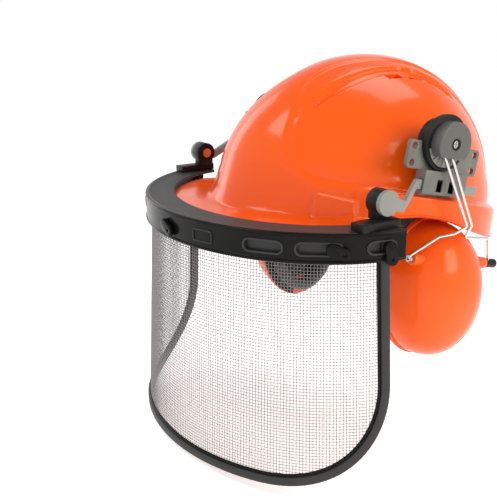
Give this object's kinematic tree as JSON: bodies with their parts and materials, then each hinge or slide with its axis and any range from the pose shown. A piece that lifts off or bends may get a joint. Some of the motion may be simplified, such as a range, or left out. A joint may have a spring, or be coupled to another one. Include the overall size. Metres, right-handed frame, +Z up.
{
  "type": "forestry helmet",
  "caption": "Chainsaw safety helmet: orange shell with inner harness, hinged mesh face guard and two ear muffs on swinging wire arms with side carriers.",
  "frame": {"origin": "middle of the headband, level with its lower third, on the midplane of the head", "axes": "+X to the wearer's left, along the carriers' hole axes, +Y to the back, +Z up, against the head mount's axis"},
  "size_m": [0.285, 0.3173, 0.3329],
  "materials": {
    "orange_shell": "glossy injection-moulded",
    "black_plastic": "satin",
    "grey_plastic": "satin",
    "harness_plastic": "matte",
    "steel": "bright drawn wire",
    "steel_mesh": "woven wire mesh",
    "cushion_skin": "soft matte foil over foam",
    "pad_foam": "foam and cloth",
    "webbing": "woven strap"
  },
  "bodies": {
    "helmet": {"shell": "orange_shell", "headband": "harness_plastic", "sweatband": "pad_foam", "harness_clips": "harness_plastic", "ratchet_housing": "harness_plastic", "ratchet_cover": "harness_plastic", "nape_pad": "pad_foam", "crown_strap_lengthwise": "webbing", "crown_strap_left": "webbing", "crown_strap_right": "webbing", "carrier_left": "grey_plastic", "pivot_boss_left": "black_plastic", "pivot_screw_left": "steel", "carrier_right": "grey_plastic", "pivot_boss_right": "black_plastic", "pivot_screw_right": "steel"},
    "knob": {"adjuster_knob": "harness_plastic", "ratchet_pinion": "harness_plastic"},
    "band_left": {"rack_band_left": "harness_plastic"},
    "band_right": {"rack_band_right": "harness_plastic"},
    "visor": {"brow_guard": "black_plastic", "visor_rim": "black_plastic", "visor_mesh": "steel_mesh", "hinge_hub_left": "black_plastic", "hinge_hub_right": "black_plastic", "hinge_shoe_left": "black_plastic", "hinge_shoe_right": "black_plastic"},
    "arm_left": {"visor_arm_left": "grey_plastic", "hinge_pin_left": "steel"},
    "muff_pivot_left": {"pivot_disc_left": "black_plastic", "pivot_block_left": "black_plastic", "flip_pin_left": "steel"},
    "muff_arm_left": {"wire_barrel_left": "black_plastic", "wire_front_left": "steel", "wire_rear_left": "steel", "wire_knob_left": "steel", "wire_grommet_left": "black_plastic"},
    "muff_left": {"ear_cup_left": "orange_shell", "cup_ring_left": "orange_shell", "ear_cushion_left": "cushion_skin", "cup_foam_left": "pad_foam"},
    "arm_right": {"visor_arm_right": "grey_plastic", "hinge_pin_right": "steel"},
    "muff_pivot_right": {"pivot_disc_right": "black_plastic", "pivot_block_right": "black_plastic", "flip_pin_right": "steel"},
    "muff_arm_right": {"wire_barrel_right": "black_plastic", "wire_front_right": "steel", "wire_rear_right": "steel", "wire_knob_right": "steel", "wire_grommet_right": "black_plastic"},
    "muff_right": {"ear_cup_right": "orange_shell", "cup_ring_right": "orange_shell", "ear_cushion_right": "cushion_skin", "cup_foam_right": "pad_foam"},
    "turn_button_front": {"turn_button_front": "black_plastic"},
    "turn_button_left": {"turn_button_left": "black_plastic"},
    "turn_button_right": {"turn_button_right": "black_plastic"},
    "post_button_left": {"post_button_left": "black_plastic"},
    "post_button_right": {"post_button_right": "black_plastic"}
  },
  "joints": [
    {"name": "arm_slide_left", "type": "slide", "parent": "helmet", "child": "arm_left", "axis": [0, -1, 0], "range_m": [0, 0.008]},
    {"name": "arm_slide_right", "type": "slide", "parent": "helmet", "child": "arm_right", "axis": [0, -1, 0], "range_m": [0, 0.008]},
    {"name": "visor_tilt", "type": "hinge", "parent": "arm_left", "child": "visor", "pos_m": [0.121, -0.0768, 0.0001], "axis": [-1, 0, 0], "range_deg": [0, 95]},
    {"name": "turn_button_front_turn", "type": "hinge", "parent": "visor", "child": "turn_button_front", "pos_m": [0, -0.16902, -0.048], "axis": [0, -0.9763, -0.2164], "range_deg": [-70, 20]},
    {"name": "turn_button_left_turn", "type": "hinge", "parent": "visor", "child": "turn_button_left", "pos_m": [0.12185, -0.11059, -0.03504], "axis": [0.8274, -0.5482, -0.1215], "range_deg": [-70, 20]},
    {"name": "turn_button_right_turn", "type": "hinge", "parent": "visor", "child": "turn_button_right", "pos_m": [-0.12185, -0.11059, -0.03504], "axis": [-0.8274, -0.5482, -0.1215], "range_deg": [-20, 70]},
    {"name": "post_button_left_turn", "type": "hinge", "parent": "visor", "child": "post_button_left", "pos_m": [0.13762, -0.07645, -0.02747], "axis": [0.9702, -0.2367, -0.0525], "range_deg": [-10, 80]},
    {"name": "post_button_right_turn", "type": "hinge", "parent": "visor", "child": "post_button_right", "pos_m": [-0.13762, -0.07645, -0.02747], "axis": [-0.9702, -0.2367, -0.0525], "range_deg": [-80, 10]},
    {"name": "muff_swing_left", "type": "hinge", "parent": "helmet", "child": "muff_pivot_left", "pos_m": [0.116, -0.016, 0.0458], "axis": [-1, 0, 0], "range_deg": [-2, 25]},
    {"name": "muff_flip_left", "type": "hinge", "parent": "muff_pivot_left", "child": "muff_arm_left", "pos_m": [0.1175, -0.016, 0.038], "axis": [0, -1, 0], "range_deg": [0, 25]},
    {"name": "cup_tilt_left", "type": "hinge", "parent": "muff_arm_left", "child": "muff_left", "pos_m": [0.105, 0.0226, -0.042], "axis": [0, -1, 0], "range_deg": [-3, 10]},
    {"name": "muff_swing_right", "type": "hinge", "parent": "helmet", "child": "muff_pivot_right", "pos_m": [-0.116, -0.016, 0.0458], "axis": [-1, 0, 0], "range_deg": [-2, 25]},
    {"name": "muff_flip_right", "type": "hinge", "parent": "muff_pivot_right", "child": "muff_arm_right", "pos_m": [-0.1175, -0.016, 0.038], "axis": [0, 1, 0], "range_deg": [0, 25]},
    {"name": "cup_tilt_right", "type": "hinge", "parent": "muff_arm_right", "child": "muff_right", "pos_m": [-0.105, 0.0226, -0.042], "axis": [0, 1, 0], "range_deg": [-3, 10]},
    {"name": "knob_turn", "type": "hinge", "parent": "helmet", "child": "knob", "pos_m": [0, 0.095, -0.028], "axis": [0, -1, 0], "range_deg": [-60, 150]},
    {"name": "band_slide_left", "type": "hinge", "parent": "helmet", "child": "band_left", "pos_m": [0, 0.015, -0.028], "axis": [0, 0, 1], "range_deg": [-4.1, 10.17]},
    {"name": "band_slide_right", "type": "hinge", "parent": "helmet", "child": "band_right", "pos_m": [0, 0.015, -0.028], "axis": [0, 0, -1], "range_deg": [-4, 9.93]}
  ],
  "couplings": [
    {"joint": "arm_slide_right", "follows": "arm_slide_left", "ratio": 1},
    {"joint": "band_slide_left", "follows": "knob_turn", "ratio": 0.067476},
    {"joint": "band_slide_right", "follows": "knob_turn", "ratio": 0.065876}
  ]
}
